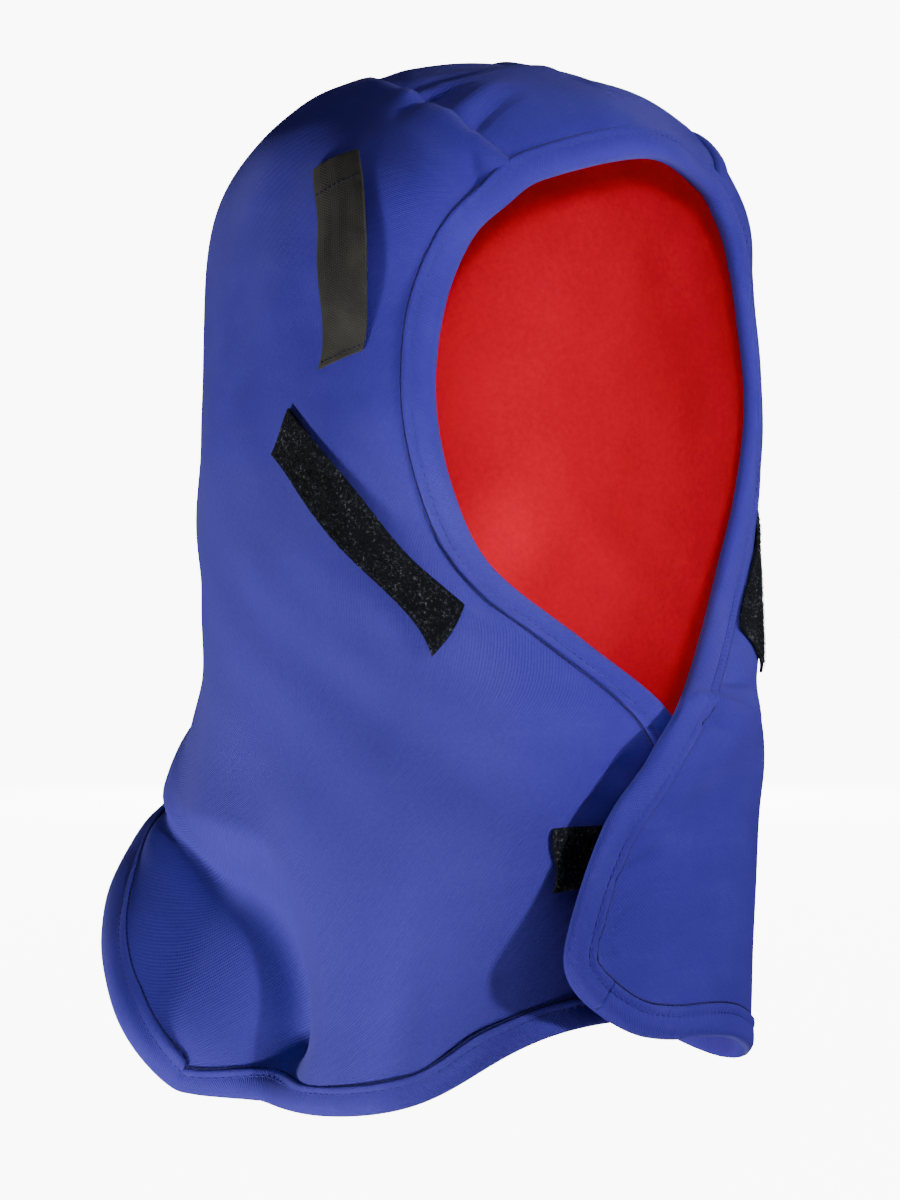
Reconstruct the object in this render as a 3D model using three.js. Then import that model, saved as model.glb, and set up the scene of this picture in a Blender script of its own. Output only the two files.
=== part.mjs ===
// Winter liner for a hard hat: a soft hood with a red lining, worn under the helmet.
// Two blue side panels meet at the middle of the back and hold a tapering crown panel between them.
// Their front edges frame the face, cross under the chin and end in a skirt that hangs over the shoulders.
// Millimetres, +Z up. The face looks along -Y and the wearer's left is +X.
// The origin is where the top of the head touches the lining.
import * as THREE from 'three';

// Cloth and trim
const shellThickness = 1.6;
const liningThickness = 1.4;
const layerGap = 1.1;
const fitGap = 0.5;
const edgeGap = 1.2;
const halfSeamGap = 0.2;
const bindingThickness = 1;
const fuzzyTapeThickness = 2;
const webbingThickness = 1.6;

// The half hood is a net of levels, from the hem up to the middle of the crown.
// at: place of the level, 0 at the hem and 1 along the middle of the crown
// edgeShare: where the front edge is, as a share of halfWidth; below 0 it has crossed the middle
// edgeY, edgeZ: the front edge; backY, backZ: the end of the level, in the middle of the back
// halfWidth: the level's widest reach; widestAt: the share of the way back where that is
// frontSquare, backSquare: 2 is an ellipse, and more is boxier
// rise: how far the crown domes above the level; dip: how far the skirt hangs below it
const levelColumns = [
  'at', 'edgeShare', 'edgeY', 'edgeZ', 'backY', 'backZ',
  'halfWidth', 'widestAt', 'frontSquare', 'backSquare', 'rise', 'dip',
];
const levelRows = [
  [0.00, -0.516, -100, -366, 116, -290, 93, 0.52, 3.2, 2.0, 0, 86],
  [0.08, -0.530, -101, -340, 115, -279, 93, 0.52, 3.2, 2.0, 0, 63],
  [0.18, -0.360, -106, -295, 113, -264, 95, 0.52, 3.0, 2.1, 0, 32],
  [0.27, -0.160, -113, -268, 111, -252, 98, 0.52, 2.5, 2.2, 0, 17],
  [0.34, 0.000, -116, -249, 109, -238, 101, 0.52, 2.3, 2.3, 0, 8],
  [0.42, 0.285, -101.5, -224, 106, -212, 104, 0.50, 2.7, 2.4, 0, 2],
  [0.49, 0.545, -82.5, -197, 103, -184, 107, 0.45, 3.2, 2.4, 0, 0],
  [0.55, 0.680, -77.5, -170, 102, -160, 107, 0.43, 3.2, 2.4, 0, 0],
  [0.63, 0.755, -75.5, -135, 101, -135, 107, 0.42, 3.0, 2.4, 5, 0],
  [0.72, 0.738, -75.5, -100, 101, -110, 104, 0.41, 3.0, 2.4, 30, 0],
  [0.80, 0.693, -79.5, -74, 96, -93, 96, 0.39, 3.7, 2.3, 47, 0],
  [0.87, 0.700, -86, -60, 90, -82, 77, 0.38, 4.0, 2.1, 57, 0],
  [0.92, 0.750, -91.5, -50, 86, -76, 54, 0.40, 3.8, 2.1, 60, 0],
  [1.00, 0.780, -106, -40.5, 82, -70, 0, 0.43, 3.8, 2.1, 60, 0],
];
const chinAt = 0.34;
const chinBlend = 0.12;

// The crown panel: a leaf between the two crown seams, with its tip at the back of the head
const crownAt = 0.75;
const crownSeamAt = 0.905;
const crownTipAt = 0.80;
const crownSweepFrom = 0.25;
const crownSweep = 1.5;
const headRadius = 100;

// The front corner of the skirt is rounded over these shares of the net.
const cornerRise = 0.09;
const cornerRun = 0.09;

// The left flap closes over the right one and stands clear of it.
const flapReach = 0.36;
const leftFlapLift = 13;
const rightFlapSink = 6;
// The left flap's hem hangs a little lower, from its corner to below the ear.
const flapDrop = { depth: 7, top: 0.13, start: [0.02, 0.14], end: [0.40, 0.62] };
// The right hem rises a little below the ridge, so it runs on into the wing in one curve.
const hemLift = { along: 0.42, wide: 0.09, height: 6.5, top: 0.14 };
// The closed left flap is drawn up, so that side of the skirt hangs less.
const leftSkirtDrop = 0.68;
const leftFoldShare = 0.35;

// Folds of the skirt, as soft ridges and valleys that fade out upwards
// along: place between front edge and middle of the back; lean: how far that moves up the fold
const foldColumns = ['along', 'lean', 'width', 'depth', 'top'];
const foldRows = [
  [0.265, 0.00, 0.075, -13, 0.21],
  [0.420, 0.30, 0.065, 8, 0.36],
  [0.755, 0.00, 0.160, 36, 0.40],
  [0.810, 0.00, 0.080, 9, 0.05],
];

// The skirt's wing: a lobe on the hem behind the shoulder that turns out and forward, with a gully round it
// along, lean, tall, wide: its middle and its reach over the net; square: 2 is an ellipse, and more is boxier
// depth: how far it turns out, away from a line as far behind the hood's middle as forward says
// drop: how far it hangs; gully: how deep the gully is, between these shares of the lobe and above footRise
// gullyEnd: where it runs out at the back
const wing = {
  along: 0.70, lean: -0.2, tall: 0.145, wide: 0.17, square: 2.4,
  depth: 40, forward: 150, drop: 10,
  gully: 16, gullyFrom: 0.45, gullyTo: 1.45, gullyEnd: [0.64, 0.80], footRise: 0.06,
};
// From here the folds fade out towards the middle of the back.
const foldsEnd = 0.84;

// Dents: gathers at the crown seams, and the tuck under the left cheek
// at, along: the middle; tall, wide: its reach over the net; depth: out of the cloth
const dentColumns = ['side', 'at', 'along', 'tall', 'wide', 'depth'];
const dentRows = [
  ['right', 0.912, 0.22, 0.020, 0.035, -4],
  ['left', 0.912, 0.22, 0.020, 0.035, -4],
  ['left', 0.362, 0.28, 0.035, 0.120, -6],
];

const toRow = (columns) => (row) => Object.fromEntries(columns.map((name, i) => [name, row[i]]));
const levels = levelRows.map(toRow(levelColumns));
const folds = foldRows.map(toRow(foldColumns));
const dents = dentRows.map(toRow(dentColumns));

// Past the middle of the crown the net goes on into its mirror image.
const beforeLast = levels.at(-2);
const mirrored = { ...beforeLast, at: 2 - beforeLast.at, halfWidth: -beforeLast.halfWidth };
const netLevels = [...levels, mirrored];

const right = -1;
const left = 1;
const clamp01 = (x) => Math.min(1, Math.max(0, x));
const mix = (a, b, s) => a + (b - a) * s;

function smoothStep(from, to, x) {
  const s = clamp01((x - from) / (to - from));
  return s * s * (3 - 2 * s);
}

// A level between the rows of the table, on a smooth curve through them
function levelAt(at) {
  let i = 0;
  while (i < levels.length - 2 && at > levels[i + 1].at) i += 1;
  const before = netLevels[Math.max(0, i - 1)];
  const [from, to, after] = [netLevels[i], netLevels[i + 1], netLevels[i + 2]];
  const span = to.at - from.at;
  const s = (at - from.at) / span;
  const level = {};
  for (const name of levelColumns) {
    const slopeFrom = ((to[name] - before[name]) / (to.at - before.at)) * span;
    const slopeTo = ((after[name] - from[name]) / (after.at - from.at)) * span;
    level[name] =
      (2 * s ** 3 - 3 * s ** 2 + 1) * from[name] + (s ** 3 - 2 * s ** 2 + s) * slopeFrom +
      (3 * s ** 2 - 2 * s ** 3) * to[name] + (s ** 3 - s ** 2) * slopeTo;
  }
  return level;
}

// Share of the crown's rise along a level: a gentle forehead and a steep back of the head
const crownFront = 0.68;
const crownBack = 0.38;
const crownPeak = crownFront / (crownFront + crownBack);
const domeOf = (s) => s ** crownFront * (1 - s) ** crownBack;
const crownShape = (s) => domeOf(clamp01(s)) / domeOf(crownPeak);

// Share of the skirt's dip along a level: full over the shoulder and none at the nape
const skirtFront = [0.10, 0.65];
const skirtBack = [0.66, 0.82];
const skirtShape = (s) => smoothStep(...skirtFront, s) * (1 - smoothStep(...skirtBack, s));

// One level as points at even steps along it, from the front edge to the middle of the back
const levelSteps = 160;
const levelCache = new Map();
function levelCurve(side, at) {
  const key = `${side} ${at.toFixed(6)}`;
  if (levelCache.has(key)) return levelCache.get(key);
  const level = levelAt(at);
  const dip = level.dip * (side === left ? leftSkirtDrop : 1);
  const share = level.edgeShare;
  const edgeAngle = -Math.acos(Math.sign(share) * Math.abs(share) ** (level.frontSquare / 2));
  const frontDepth = level.widestAt / Math.abs(Math.sin(edgeAngle)) ** (2 / level.frontSquare);
  const points = [];
  for (let i = 0; i <= levelSteps; i += 1) {
    const turn = i / levelSteps;
    const angle = mix(edgeAngle, Math.PI / 2, turn);
    const power = 2 / (angle < 0 ? level.frontSquare : level.backSquare);
    const out = Math.sign(Math.cos(angle)) * Math.abs(Math.cos(angle)) ** power;
    const depth = Math.abs(Math.sin(angle)) ** power;
    const back = angle < 0 ? level.widestAt - frontDepth * depth : mix(level.widestAt, 1, depth);
    points.push(new THREE.Vector3(
      level.halfWidth * out,
      mix(level.edgeY, level.backY, back),
      mix(level.edgeZ, level.backZ, back) + level.rise * crownShape(back) - dip * skirtShape(turn),
    ));
  }
  const lengths = [0];
  for (let i = 1; i < points.length; i += 1) {
    lengths.push(lengths[i - 1] + points[i].distanceTo(points[i - 1]));
  }
  const curve = { points, lengths, length: lengths.at(-1) };
  levelCache.set(key, curve);
  return curve;
}

function pointOnLevel(curve, along) {
  const wanted = clamp01(along) * curve.length;
  let i = 1;
  while (i < levelSteps && curve.lengths[i] < wanted) i += 1;
  const s = (wanted - curve.lengths[i - 1]) / (curve.lengths[i] - curve.lengths[i - 1]);
  return curve.points[i - 1].clone().lerp(curve.points[i], s);
}

// 0 in the middle of the wing's hem and 1 along the gully round it
function wingShare(at, along) {
  const off = (along - wing.along - wing.lean * at) / wing.wide;
  return (Math.abs(at / wing.tall) ** wing.square + Math.abs(off) ** wing.square) ** (1 / wing.square);
}

function foldDepth(side, at, along) {
  let depth = 0;
  for (const fold of folds) {
    const off = (along - fold.along - fold.lean * at) / fold.width;
    depth += fold.depth * Math.exp(-off * off) * (1 - smoothStep(0, fold.top, at));
  }
  const share = wingShare(at, along);
  const gully = smoothStep(wing.gullyFrom, 1, share) * (1 - smoothStep(1, wing.gullyTo, share));
  depth -= wing.gully * gully * smoothStep(0, wing.footRise, at) * (1 - smoothStep(...wing.gullyEnd, along));
  depth *= (side === left ? leftFoldShare : 1) * (1 - smoothStep(foldsEnd, 1, along));
  for (const dent of dents) {
    if ((dent.side === 'left') !== (side === left)) continue;
    const off = Math.hypot((at - dent.at) / dent.tall, (along - dent.along) / dent.wide);
    depth += dent.depth * Math.exp(-off * off);
  }
  return depth;
}

// The outer face of the cloth on one side, at a level and a share of the way from front to back
function clothPoint(side, at, along) {
  const point = pointOnLevel(levelCurve(side, at), along);
  const outward = new THREE.Vector3(point.x, point.y, at > crownAt ? point.z + headRadius : 0);
  const away = outward.clone().setY(outward.y - wing.forward).normalize();
  const turned = (1 - smoothStep(0, 1, wingShare(at, along))) * (side === left ? leftFoldShare : 1);
  point.addScaledVector(outward.normalize(), foldDepth(side, at, along));
  point.addScaledVector(away, wing.depth * turned);
  point.z -= wing.drop * turned;
  const nearEdge = 1 - smoothStep(0, flapReach, along);
  const belowChin = 1 - smoothStep(chinAt - chinBlend, chinAt + chinBlend, at);
  point.y -= (side === left ? leftFlapLift : -rightFlapSink) * nearEdge * belowChin;
  if (side === left) {
    const overFlap = smoothStep(...flapDrop.start, along) * (1 - smoothStep(...flapDrop.end, along));
    point.z -= flapDrop.depth * overFlap * (1 - smoothStep(0, flapDrop.top, at));
  } else {
    const underRidge = Math.exp(-(((along - hemLift.along) / hemLift.wide) ** 2));
    point.z += hemLift.height * underRidge * (1 - smoothStep(0, hemLift.top, at));
  }
  point.x *= side;
  return point;
}

// The direction out of the cloth, from its slopes up the net and along the level
const probe = 0.004;
const backMargin = 0.012;
function clothOut(side, at, along) {
  const safeAt = Math.max(at, probe);
  const safeAlong = Math.min(Math.max(along, probe), 1 - backMargin);
  const slope = (dAt, dAlong) => clothPoint(side, safeAt + dAt, safeAlong + dAlong)
    .sub(clothPoint(side, safeAt - dAt, safeAlong - dAlong)).divideScalar(2 * probe);
  const up = slope(probe, 0);
  const back = slope(0, probe);
  const out = new THREE.Vector3().crossVectors(back, up).multiplyScalar(side);
  if (at === 1 || along === 1) out.x = 0;
  return out.normalize();
}

function offCloth(side, at, along, height) {
  return clothPoint(side, at, along).addScaledVector(clothOut(side, at, along), height);
}

function meshOf(points, triangles) {
  let volume = 0;
  for (const [a, b, c] of triangles) {
    volume += points[a].dot(new THREE.Vector3().crossVectors(points[b], points[c]));
  }
  const facing = volume < 0 ? triangles.map(([a, b, c]) => [a, c, b]) : triangles;
  return new THREE.BufferGeometry().setFromPoints(points).setIndex(facing.flat());
}

// A closed wall between an outer and an inner grid of points, both rows x columns
function wallGeometry(outer, inner) {
  const rows = outer.length;
  const columns = outer[0].length;
  const points = [...outer.flat(), ...inner.flat()];
  const layer = rows * columns;
  const index = (i, j) => i * columns + j;
  const triangles = [];
  const quad = (a, b, c, d) => triangles.push([a, b, c], [a, c, d]);
  for (let i = 0; i + 1 < rows; i += 1) {
    for (let j = 0; j + 1 < columns; j += 1) {
      const [a, b, c, d] = [index(i, j), index(i + 1, j), index(i + 1, j + 1), index(i, j + 1)];
      quad(a, b, c, d);
      quad(a + layer, d + layer, c + layer, b + layer);
    }
  }
  const rim = [];
  for (let j = 0; j + 1 < columns; j += 1) rim.push(index(0, j));
  for (let i = 0; i + 1 < rows; i += 1) rim.push(index(i, columns - 1));
  for (let j = columns - 1; j > 0; j -= 1) rim.push(index(rows - 1, j));
  for (let i = rows - 1; i > 0; i -= 1) rim.push(index(i, 0));
  rim.forEach((a, k) => {
    const b = rim[(k + 1) % rim.length];
    quad(a, b, b + layer, a + layer);
  });
  return meshOf(points, triangles);
}

function gridOf(rows, columns, pointAt) {
  return Array.from({ length: rows + 1 }, (_, i) =>
    Array.from({ length: columns + 1 }, (_, j) => pointAt(i / rows, j / columns)));
}

// Where a panel starts at the rounded front corner, and where it ends at the crown seam
function hemAt(along) {
  const s = clamp01(1 - (along - edgeTrim) / cornerRun);
  return edgeTrim + cornerRise * (1 - Math.sqrt(1 - s * s));
}
const crownSeam = (along) => mix(
  crownSeamAt, 1, smoothStep(crownSweepFrom, 1, along / crownTipAt) ** crownSweep);

const evenShares = (count) => Array.from({ length: count + 1 }, (_, i) => i / count);
const hemShare = 0.021;
const panelRows = [0, hemShare, ...evenShares(20).slice(1)];
const crownRows = evenShares(4);
// The cloth stops just short of the net's edges, where the binding goes round it.
const edgeTrim = 0.005;
const bandAlong = 0.034;
// Places along each level; they are closer together over the sharp fold of the skirt.
const columns = [
  edgeTrim, bandAlong, 0.09, 0.15, 0.21, 0.27, 0.33, 0.39, 0.45, 0.505, 0.55,
  0.595, 0.635, 0.67, 0.70, 0.73, 0.765, 0.805, 0.86, 0.93, 1,
];
const seamTrim = 0.001;

// Levels of a side panel, and of the crown panel above it, at one share of the way back
const panelLevels = (along) => panelRows.map((s) => mix(hemAt(along), crownSeam(along) - seamTrim, s));
const crownLevels = (along) => crownRows.map((s) => mix(crownSeam(along) + seamTrim, 1, s));

// A wall of cloth over the net on one side, between two depths under its outer face
function clothWall(side, levelsAt, outerDepth, innerDepth) {
  const layer = (depth) => columns.map((along) => levelsAt(along).map((at) => {
    const point = offCloth(side, at, along, -depth);
    point.x += side * halfSeamGap;
    return point;
  }));
  return wallGeometry(layer(outerDepth), layer(innerDepth));
}

const sidePanel = (side) => clothWall(side, panelLevels, 0, shellThickness);

const liningDepth = shellThickness + layerGap;
const liningSeamLimit = 0.96;
function lining(side) {
  const levelsAt = (along) => {
    const seam = Math.min(crownSeam(along), liningSeamLimit) - seamTrim;
    return [
      ...panelRows.map((s) => mix(hemAt(along), seam, s)),
      ...crownRows.slice(1).map((s) => mix(seam, 1, s)),
    ];
  };
  return clothWall(side, levelsAt, liningDepth, liningDepth + liningThickness);
}

function crownPanel() {
  const tipMargin = 0.02;
  const stations = columns.filter((along) => along < crownTipAt - tipMargin);
  const halfRow = (side, along, depth) => crownLevels(along).map((at) => offCloth(side, at, along, -depth));
  const layer = (depth) => stations.map((along) => [
    ...halfRow(right, along, depth),
    ...halfRow(left, along, depth).reverse().slice(1),
  ]);
  return wallGeometry(layer(0), layer(shellThickness));
}

// Binding: a folded tape around the edges of shell and lining, cut as a channel
// Each point of its section has a place between the edge, 0, and the tape's sewn side, 1, and a height.
// Points past the edge have their distance from it instead.
const channelOut = fitGap;
const channelIn = -(liningDepth + liningThickness + fitGap);
const bindingSection = [
  { place: 1, height: channelOut },
  { place: 1, height: channelOut + bindingThickness },
  { place: 0, height: channelOut + bindingThickness },
  { past: edgeGap + bindingThickness, height: channelOut - bindingThickness },
  { past: edgeGap + bindingThickness, height: channelIn + bindingThickness },
  { place: 0, height: channelIn - bindingThickness },
  { place: 1, height: channelIn - bindingThickness },
  { place: 1, height: channelIn },
  { past: edgeGap, height: channelIn },
  { past: edgeGap, height: channelOut },
  { place: 0, height: channelOut },
];

// The cut end of a binding, as triangles between the points of its section
const bindingEnd = [
  [0, 1, 2], [0, 2, 10], [10, 2, 3], [10, 3, 9], [9, 3, 4], [9, 4, 8], [8, 4, 5], [8, 5, 6], [8, 6, 7],
];

// One ring of binding between a place on the edge of the net and a place further in, each [at, along]
// before, after: the edge at the neighbouring rings
function bindingRing(side, { edge, sewn }, before, after) {
  const start = clothPoint(side, ...edge);
  const run = clothPoint(side, ...after).sub(clothPoint(side, ...before)).normalize();
  const out = clothOut(side, ...edge);
  const inward = clothPoint(side, ...sewn).sub(start);
  inward.addScaledVector(run, -inward.dot(run)).addScaledVector(out, -inward.dot(out)).normalize();
  return bindingSection.map(({ place, past, height }) => {
    if (past === undefined) return offCloth(side, ...(place === 0 ? edge : sewn), height);
    return start.clone().addScaledVector(inward, -past).addScaledVector(out, height);
  });
}

// A binding that runs over both sides and meets itself in the middle
function bindingGeometry(places) {
  const ringsOn = (side) => places.map((place, i) => bindingRing(
    side, place, places[Math.max(0, i - 1)].edge, places[Math.min(places.length - 1, i + 1)].edge));
  const rightRings = ringsOn(right);
  const leftRings = ringsOn(left);
  const middle = rightRings.at(-1).map((point, k) => point.clone().lerp(leftRings.at(-1)[k], 0.5));
  const rings = [...rightRings.slice(0, -1), middle, ...leftRings.slice(0, -1).reverse()];
  const sides = bindingSection.length;
  const triangles = [];
  for (let i = 0; i + 1 < rings.length; i += 1) {
    const onRight = i + 1 < rightRings.length;
    for (let k = 0; k < sides; k += 1) {
      const next = (k + 1) % sides;
      const [a, b] = [i * sides + k, i * sides + next];
      // The diagonals run the same way as in the cloth below, so the two stay clear of each other.
      const likeCloth = (bindingSection[next].place === 1) === onRight;
      if (likeCloth) triangles.push([a, b, b + sides], [a, b + sides, a + sides]);
      else triangles.push([a, b, a + sides], [b, b + sides, a + sides]);
    }
  }
  const last = (rings.length - 1) * sides;
  for (const [a, b, c] of bindingEnd) triangles.push([a, c, b], [last + a, last + b, last + c]);
  return meshOf(rings.flat(), triangles);
}

// Around the face, and round the front corners of the skirt
const cornerOverlap = 0.06;
function faceBinding() {
  const edgeLevels = [...panelLevels(edgeTrim), ...crownLevels(edgeTrim)];
  const sewnLevels = [...panelLevels(bandAlong), ...crownLevels(bandAlong)];
  const places = edgeLevels.map((at, i) => ({ edge: [at, edgeTrim], sewn: [sewnLevels[i], bandAlong] }));
  const cornerEnd = [
    mix(sewnLevels[0], edgeLevels[0], cornerOverlap),
    mix(bandAlong, edgeTrim, cornerOverlap),
  ];
  places.unshift({ edge: cornerEnd, sewn: [sewnLevels[0], bandAlong] });
  // At the corner the rings fan out from one place.
  for (const i of [0, 1, 2]) places[i].sewn = [sewnLevels[1] + (i + 1) * seamTrim, bandAlong - seamTrim];
  return bindingGeometry(places);
}

// Around the skirt, from one front corner to the other
const hemBinding = () => bindingGeometry(columns.slice(1).map((along) => {
  const [edge, sewn] = panelLevels(along);
  return { edge: [edge, along], sewn: [sewn, along] };
}));

// A piece laid on the cloth: its front and back edge at three places on the net, and its height
function laidPiece(side, stations, rows, across, height, thickness) {
  const curve = ([first, second, third], s) =>
    first * (1 - s) * (1 - 2 * s) + second * 4 * s * (1 - s) + third * s * (2 * s - 1);
  const layer = (lift) => gridOf(rows, across, (s, c) => {
    const place = [0, 1].map((k) => mix(
      curve(stations.map((station) => station[0][k]), s),
      curve(stations.map((station) => station[1][k]), s), c));
    return offCloth(side, place[0], place[1], height(s) + lift);
  });
  return wallGeometry(layer(thickness), layer(0));
}

// Fuzzy tape on the cheeks: front and back corner as [at, along], from the upper to the lower end
const cheekTapeStations = [
  [[0.620, 0.248], [0.580, 0.306]],
  [[0.533, 0.122], [0.498, 0.194]],
  [[0.456, 0.097], [0.401, 0.214]],
];
const leftTapeShift = [-0.026, -0.03];
const tapeLift = 0.2;
const tapeHeight = () => fitGap + tapeLift;
function cheekTape(side) {
  const shift = side === left ? leftTapeShift : [0, 0];
  const stations = cheekTapeStations.map((edges) => edges.map(
    ([at, along]) => [at + shift[0], along + shift[1]]));
  return laidPiece(side, stations, 10, 3, tapeHeight, fuzzyTapeThickness);
}

// Suspension straps: sewn on flat at the top, bowed out over the cloth and back onto it
const strapStations = [
  [[0.824, 0.225], [0.791, 0.280]],
  [[0.740, 0.122], [0.715, 0.190]],
  [[0.665, 0.109], [0.648, 0.189]],
];
const leftStrapShift = 0.07;
const strapSewn = 0.14;
const strapLanding = 0.98;
const strapBow = { right: 7, left: 4 };
function suspensionStrap(side) {
  const shift = side === left ? leftStrapShift : 0;
  const stations = strapStations.map((edges) => edges.map(([at, along]) => [at, along + shift]));
  const bow = side === left ? strapBow.left : strapBow.right;
  const height = (s) => {
    const free = clamp01((s - strapSewn) / (strapLanding - strapSewn));
    return fitGap + bow * Math.sin(Math.PI * free) ** 2;
  };
  return laidPiece(side, stations, 16, 2, height, webbingThickness);
}

// Closure: a loop patch on the right flap, and a hook patch inside the edge of the left one
const loopPatchStations = [
  [[0.187, 0.140], [0.187, 0.203]],
  [[0.161, 0.146], [0.161, 0.209]],
  [[0.135, 0.153], [0.135, 0.216]],
];
const hookPatchStations = [
  [[0.187, 0.045], [0.187, 0.105]],
  [[0.161, 0.045], [0.161, 0.105]],
  [[0.135, 0.045], [0.135, 0.105]],
];
const insideHeight = () => -(liningDepth + liningThickness + fitGap + fuzzyTapeThickness);
const closureLoopPatch = () => laidPiece(right, loopPatchStations, 3, 3, tapeHeight, fuzzyTapeThickness);
const closureHookPatch = () => laidPiece(left, hookPatchStations, 3, 3, insideHeight, fuzzyTapeThickness);

const part = new THREE.Group();
const blueCotton = { color: 0x36409c, roughness: 0.85, metalness: 0 };
const redFleece = { color: 0xc41f26, roughness: 0.95, metalness: 0 };
const blackTape = { color: 0x17191c, roughness: 1, metalness: 0 };
const greyWebbing = { color: 0x2b2b28, roughness: 0.8, metalness: 0 };

function add(name, geometry, finish) {
  const mesh = new THREE.Mesh(geometry, new THREE.MeshStandardMaterial(finish));
  mesh.name = name;
  part.add(mesh);
}

add('side_panel_right', sidePanel(right), blueCotton);
add('side_panel_left', sidePanel(left), blueCotton);
add('crown_panel', crownPanel(), blueCotton);
add('lining_right', lining(right), redFleece);
add('lining_left', lining(left), redFleece);
add('face_binding', faceBinding(), blueCotton);
add('hem_binding', hemBinding(), blueCotton);
add('cheek_tape_right', cheekTape(right), blackTape);
add('cheek_tape_left', cheekTape(left), blackTape);
add('suspension_strap_right', suspensionStrap(right), greyWebbing);
add('suspension_strap_left', suspensionStrap(left), greyWebbing);
add('closure_loop_patch', closureLoopPatch(), blackTape);
add('closure_hook_patch', closureHookPatch(), blackTape);

// The top of the lining's inner face, where the head touches it, becomes the origin.
const crownLine = columns.map((along) => offCloth(right, 1, along, -(liningDepth + liningThickness)));
const seat = crownLine.reduce((top, point) => (point.z > top.z ? point : top));
part.position.set(0, -seat.y, -seat.z);

export default part;
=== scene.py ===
import math

import bmesh
import bpy
import numpy as np
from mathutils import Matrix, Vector


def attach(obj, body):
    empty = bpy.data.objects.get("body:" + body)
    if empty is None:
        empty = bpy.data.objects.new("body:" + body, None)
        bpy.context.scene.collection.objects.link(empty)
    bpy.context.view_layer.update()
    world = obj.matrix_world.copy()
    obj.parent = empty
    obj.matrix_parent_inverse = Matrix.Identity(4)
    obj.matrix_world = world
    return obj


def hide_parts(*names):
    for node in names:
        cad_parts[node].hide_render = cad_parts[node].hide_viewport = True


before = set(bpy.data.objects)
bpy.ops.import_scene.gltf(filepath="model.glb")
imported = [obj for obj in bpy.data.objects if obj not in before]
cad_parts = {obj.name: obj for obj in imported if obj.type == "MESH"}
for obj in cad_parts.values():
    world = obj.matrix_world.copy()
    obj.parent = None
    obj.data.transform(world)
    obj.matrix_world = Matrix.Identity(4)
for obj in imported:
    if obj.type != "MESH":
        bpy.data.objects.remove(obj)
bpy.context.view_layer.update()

chance = np.random.default_rng(11)
mm = 0.001
right, left = -1, 1
print("frame loaded:", len(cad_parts), "nodes")

# The hood is a net of levels, from the hem (at 0) to the middle of the crown (at 1).
# A level runs from the front edge (along 0) to the middle of the back (along 1). Millimetres, as built.
hood = {
    "columns": ["at", "edgeShare", "edgeY", "edgeZ", "backY", "backZ",
                "halfWidth", "widestAt", "frontSquare", "backSquare", "rise", "dip"],
    "levels": [
        [0.00, -0.516, -100, -366, 116, -290, 93, 0.52, 3.2, 2.0, 0, 86],
        [0.08, -0.530, -101, -340, 115, -279, 93, 0.52, 3.2, 2.0, 0, 63],
        [0.18, -0.360, -106, -295, 113, -264, 95, 0.52, 3.0, 2.1, 0, 32],
        [0.27, -0.160, -113, -268, 111, -252, 98, 0.52, 2.5, 2.2, 0, 17],
        [0.34, 0.000, -116, -249, 109, -238, 101, 0.52, 2.3, 2.3, 0, 8],
        [0.42, 0.285, -101.5, -224, 106, -212, 104, 0.50, 2.7, 2.4, 0, 2],
        [0.49, 0.545, -82.5, -197, 103, -184, 107, 0.45, 3.2, 2.4, 0, 0],
        [0.55, 0.680, -77.5, -170, 102, -160, 107, 0.43, 3.2, 2.4, 0, 0],
        [0.63, 0.755, -75.5, -135, 101, -135, 107, 0.42, 3.0, 2.4, 5, 0],
        [0.72, 0.738, -75.5, -100, 101, -110, 104, 0.41, 3.0, 2.4, 30, 0],
        [0.80, 0.693, -79.5, -74, 96, -93, 96, 0.39, 3.7, 2.3, 47, 0],
        [0.87, 0.700, -86, -60, 90, -82, 77, 0.38, 4.0, 2.1, 57, 0],
        [0.92, 0.750, -91.5, -50, 86, -76, 54, 0.40, 3.8, 2.1, 60, 0],
        [1.00, 0.780, -106, -40.5, 82, -70, 0, 0.43, 3.8, 2.1, 60, 0],
    ],
    "chinFade": (0.22, 0.46), "crownAt": 0.75, "headRadius": 100,
    "crownFront": 0.68, "crownBack": 0.38,
    "flapReach": 0.36, "flapLift": {right: -6, left: 13},
    "skirtFront": (0.10, 0.65), "skirtBack": (0.66, 0.82),
    "skirtDrop": {right: 1, left: 0.68}, "foldShare": {right: 1, left: 0.35},
    "flapDrop": {"depth": 7, "top": 0.13, "start": (0.02, 0.14), "end": (0.40, 0.62)},
    "hemLift": {"along": 0.42, "wide": 0.09, "height": 6.5, "top": 0.14},
    "seatShift": (0, 9.36, 1.83),
    # along, lean, width, depth, top
    "folds": [
        [0.265, 0.00, 0.075, -13, 0.21],
        [0.420, 0.30, 0.065, 8, 0.36],
        [0.755, 0.00, 0.160, 36, 0.40],
        [0.810, 0.00, 0.080, 9, 0.05],
    ],
    # the skirt's turned-out wing, a lobe on the hem with a gully round it
    "wing": {
        "along": 0.70, "lean": -0.2, "tall": 0.145, "wide": 0.17, "square": 2.4,
        "depth": 40, "forward": 150, "drop": 10,
        "gully": 16, "gullyIn": 0.45, "gullyOut": 1.45, "gullyEnd": (0.64, 0.80), "footRise": 0.06,
    },
    "foldsEnd": 0.84,
    # side, at, along, tall, wide, depth
    "dents": [
        [right, 0.912, 0.22, 0.020, 0.035, -4],
        [left, 0.912, 0.22, 0.020, 0.035, -4],
        [left, 0.362, 0.28, 0.035, 0.120, -6],
    ],
    "shell": 1.6, "lining": 1.4, "layerGap": 1.1, "halfSeam": 0.2,
    "edgeTrim": 0.005, "bandAlong": 0.034, "cornerRise": 0.09, "cornerRun": 0.09,
    "crownSeamAt": 0.905, "crownSeamTurn": 0.25, "crownSeamBend": 1.5, "crownTipAt": 0.80, "seamTrim": 0.001,
}
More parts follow.
